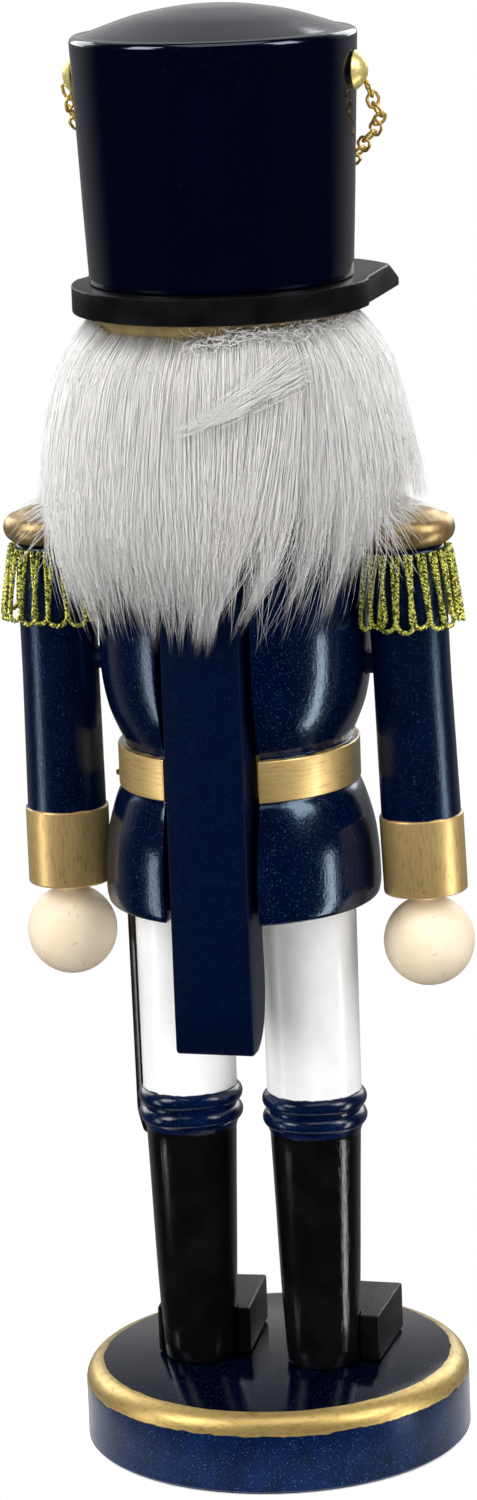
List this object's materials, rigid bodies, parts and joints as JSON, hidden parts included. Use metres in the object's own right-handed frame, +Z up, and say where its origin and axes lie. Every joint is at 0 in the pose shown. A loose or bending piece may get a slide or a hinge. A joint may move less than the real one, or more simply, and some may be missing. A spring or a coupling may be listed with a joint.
{
  "type": "nutcracker figure",
  "caption": "Standing wooden soldier nutcracker on a round base, with a tall hat, white fur hair and a jaw worked by a long back lever.",
  "frame": {"origin": "centre of the round base's underside", "axes": "+Z up; the figure faces -Y and its own left is +X"},
  "size_m": [0.1225, 0.1038, 0.379],
  "materials": {
    "navy_lacquer": "navy gloss lacquer on turned wood",
    "navy_satin": "navy satin paint on sawn wood",
    "gold_paint": "hand-brushed satin gold paint",
    "white_gloss": "white gloss paint on turned wood",
    "black_gloss": "black gloss paint on wood",
    "black_matte": "black matte paint on sawn wood",
    "hand_paint": "matte beige paint on a turned ball",
    "face_paint": "satin skin-tone paint on turned wood",
    "bare_wood": "bare beech dowel",
    "white_fur": "long-pile white synthetic fur",
    "fringe_cord": "lime-gold metallic twisted cord",
    "brass": "bright brass plate",
    "steel": "plain steel"
  },
  "bodies": {
    "figure": {"base": "navy_lacquer", "base_screw_left": "steel", "base_screw_right": "steel", "leg_left": "white_gloss", "leg_right": "white_gloss", "foot_left": "black_matte", "foot_right": "black_matte", "leg_dowel_left": "bare_wood", "leg_dowel_right": "bare_wood", "coat_body": "navy_lacquer", "belt_buckle": "brass", "coat_button_top": "gold_paint", "coat_button_middle": "gold_paint", "coat_button_bottom": "gold_paint", "arm_left": "navy_lacquer", "arm_right": "navy_lacquer", "arm_dowel_left": "bare_wood", "arm_dowel_right": "bare_wood", "hand_left": "hand_paint", "hand_right": "hand_paint", "epaulette_left": "gold_paint", "epaulette_right": "gold_paint", "fringe_left": "fringe_cord", "fringe_right": "fringe_cord", "scabbard": "black_gloss", "sword_hilt": "brass", "head": "face_paint", "neck_dowel_left": "bare_wood", "neck_dowel_right": "bare_wood", "nose": "face_paint", "moustache": "white_gloss", "jaw_pin": "steel", "hair": "white_fur", "hat_brim": "black_gloss", "hat_crown": "navy_lacquer", "hat_dowel": "bare_wood", "hat_tack_left": "brass", "hat_tack_right": "brass"},
    "jaw": {"jaw_lever": "navy_satin", "beard": "white_fur"},
    "chain": {"hat_chain": "brass"}
  },
  "joints": [
    {"name": "jaw_hinge", "type": "hinge", "parent": "figure", "child": "jaw", "pos_m": [0.003, 0.0167, 0.259], "axis": [1, 0, 0], "range_deg": [0, 18], "deforming": ["beard"]},
    {"name": "chain_swing", "type": "hinge", "parent": "figure", "child": "chain", "pos_m": [0.003, 0.0047, 0.362], "axis": [-1, 0, 0], "range_deg": [0, 60]}
  ]
}
